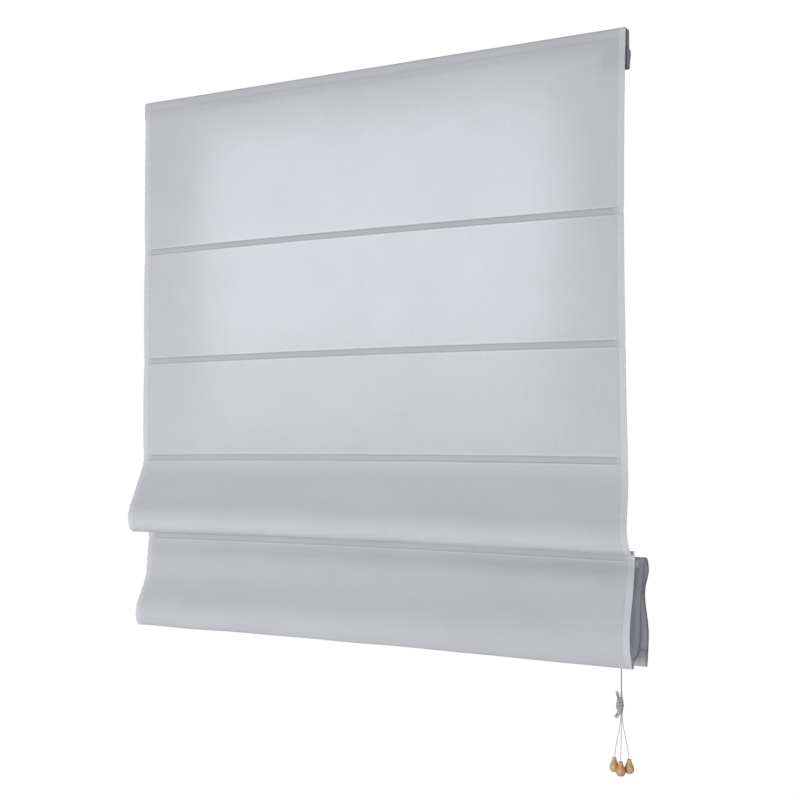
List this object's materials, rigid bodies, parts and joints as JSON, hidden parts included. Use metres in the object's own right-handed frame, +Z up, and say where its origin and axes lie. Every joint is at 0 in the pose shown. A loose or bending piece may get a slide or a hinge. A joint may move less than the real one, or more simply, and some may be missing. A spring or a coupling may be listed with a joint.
{
  "type": "roman blind",
  "caption": "Ceiling-fixed roman blind of light grey cloth on sewn-in battens, drawn part way up into a folded stack, with a cord lock, a pull knot and wooden acorns.",
  "frame": {"origin": "on the mounting plane at the top, midway between the two bracket screw holes", "axes": "+X to the right along the headrail, -Y into the room, +Z up"},
  "size_m": [1.239, 0.1346, 1.481],
  "materials": {
    "rail": "powder coated dark slate, fine matt texture",
    "rail_plastic": "moulded dark slate nylon",
    "bracket_steel": "zinc plated sheet steel, satin",
    "hook_tape": "woven nylon hook tape",
    "loop_tape": "woven nylon loop tape",
    "guide_plastic": "moulded acetal, satin",
    "pin_steel": "drawn steel pin",
    "lock_plastic": "moulded dark slate nylon",
    "cloth": "light grey plain-weave polyester and cotton, translucent",
    "pocket_cloth": "same cloth cut as a narrow strip and stitched",
    "batten": "pultruded glass-fibre rod, satin",
    "ring": "moulded clear-white plastic",
    "bead": "moulded white plastic",
    "bottom_bar": "mill-finish flat bar",
    "bar_cap": "moulded end cap",
    "lift_cord": "braided polyester cord",
    "pull_cord": "braided polyester cord",
    "acorn_wood": "turned beech, waxed"
  },
  "bodies": {
    "rail": {"headrail": "rail", "end_cap_left": "rail_plastic", "end_cap_right": "rail_plastic", "bracket_left": "bracket_steel", "bracket_right": "bracket_steel", "hook_tape": "hook_tape", "loop_tape": "loop_tape", "cord_guide_left": "guide_plastic", "cord_guide_centre": "guide_plastic", "cord_guide_right": "guide_plastic", "guide_pins": "pin_steel", "lock_body": "lock_plastic", "lock_pin": "pin_steel", "lift_cord_left": "lift_cord", "lift_cord_centre": "lift_cord", "lift_cord_right": "lift_cord", "fabric_panel_1": "cloth"},
    "row_1": {"batten_1": "batten", "batten_pocket_1": "pocket_cloth", "cord_rings_1": "ring", "fabric_panel_2": "cloth"},
    "row_2": {"batten_2": "batten", "batten_pocket_2": "pocket_cloth", "cord_rings_2": "ring", "fabric_panel_3": "cloth"},
    "row_3": {"batten_3": "batten", "batten_pocket_3": "pocket_cloth", "cord_rings_3": "ring", "fabric_fold": "cloth"},
    "stack": {"batten_4": "batten", "batten_pocket_4": "pocket_cloth", "cord_rings_4": "ring", "fabric_front_layer": "cloth", "batten_5": "batten", "fabric_return_layer": "cloth"},
    "tail": {"batten_6": "batten", "batten_pocket_6": "pocket_cloth", "cord_rings_6": "ring", "cord_stops": "bead", "fabric_back_layer": "cloth", "bottom_bar": "bottom_bar", "bottom_bar_caps": "bar_cap"},
    "pull": {"pull_cord_left": "pull_cord", "pull_cord_centre": "pull_cord", "pull_cord_right": "pull_cord", "cord_knot": "pull_cord", "pull_tail_left": "pull_cord", "pull_tail_middle": "pull_cord", "pull_tail_right": "pull_cord", "acorn_left": "acorn_wood", "acorn_middle": "acorn_wood", "acorn_right": "acorn_wood", "acorn_end_knots": "pull_cord"},
    "pulley": {"lock_pulley": "guide_plastic"},
    "roller": {"lock_roller": "pin_steel"}
  },
  "joints": [
    {"name": "lift_1", "type": "slide", "parent": "rail", "child": "row_1", "axis": [0, 0, 1], "range_m": [0, 0.27], "deforming": ["fabric_panel_1", "lift_cord_left", "lift_cord_centre", "lift_cord_right"]},
    {"name": "lift_2", "type": "slide", "parent": "row_1", "child": "row_2", "axis": [0, 0, 1], "range_m": [0, 0.237], "deforming": ["fabric_panel_2"]},
    {"name": "lift_3", "type": "slide", "parent": "row_2", "child": "row_3", "axis": [0, 0, 1], "range_m": [0, 0.205], "deforming": ["fabric_panel_3"]},
    {"name": "lift_4", "type": "slide", "parent": "row_3", "child": "stack", "axis": [0, 0, 1], "range_m": [0, 0.16], "deforming": ["fabric_fold"]},
    {"name": "unfold", "type": "slide", "parent": "stack", "child": "tail", "axis": [0, 0.0834, 0.9965], "range_m": [-0.43, 0], "deforming": ["fabric_return_layer"]},
    {"name": "pull", "type": "slide", "parent": "rail", "child": "pull", "axis": [0, 0, 1], "range_m": [-0.872, 0], "deforming": ["pull_cord_left", "pull_cord_centre", "pull_cord_right"]},
    {"name": "pulley_spin", "type": "hinge", "parent": "rail", "child": "pulley", "pos_m": [0.566, 0.0016, -0.026], "axis": [0, 1, 0], "continuous": true},
    {"name": "roller_slide", "type": "slide", "parent": "rail", "child": "roller", "axis": [0.5, 0, -0.866], "range_m": [0, 0.005]}
  ],
  "couplings": [
    {"joint": "lift_2", "follows": "lift_1", "ratio": 0.87778},
    {"joint": "lift_3", "follows": "lift_1", "ratio": 0.75926},
    {"joint": "lift_4", "follows": "lift_1", "ratio": 0.59259},
    {"joint": "pull", "follows": "lift_1", "ratio": -3.2296}
  ]
}
